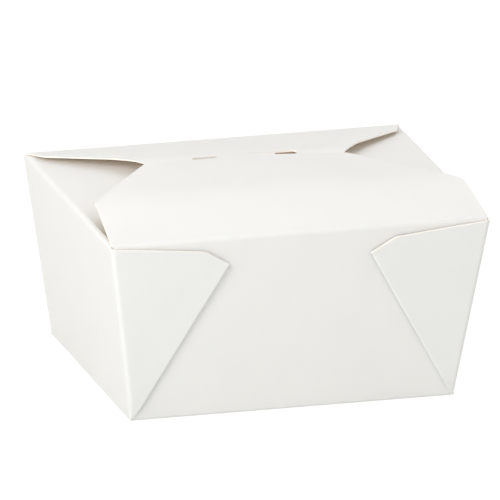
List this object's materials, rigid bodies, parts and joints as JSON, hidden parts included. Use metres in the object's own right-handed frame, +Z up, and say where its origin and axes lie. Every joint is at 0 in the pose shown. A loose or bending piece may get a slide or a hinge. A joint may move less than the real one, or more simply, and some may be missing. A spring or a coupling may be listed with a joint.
{
  "type": "takeout food box",
  "caption": "Closed folded paperboard takeout box with leaning walls, folded corner webs and a front flap that locks into the back flap by a tongue.",
  "frame": {"origin": "centre of the underside of the base, on the surface that the box stands on", "axes": "+X along the length of the box, -Y towards the front wall that carries the tongued flap, +Z up"},
  "size_m": [0.131, 0.1012, 0.0704],
  "materials": {
    "box_board": "satin",
    "flap_board": "satin"
  },
  "bodies": {
    "box": {"box": "box_board"},
    "front_flap": {"tab_flap": "flap_board"}
  },
  "joints": [
    {"name": "front_flap_crease", "type": "hinge", "parent": "box", "child": "front_flap", "pos_m": [0, -0.0492, 0.0626], "axis": [1, 0, 0], "range_deg": [0, 180]}
  ]
}
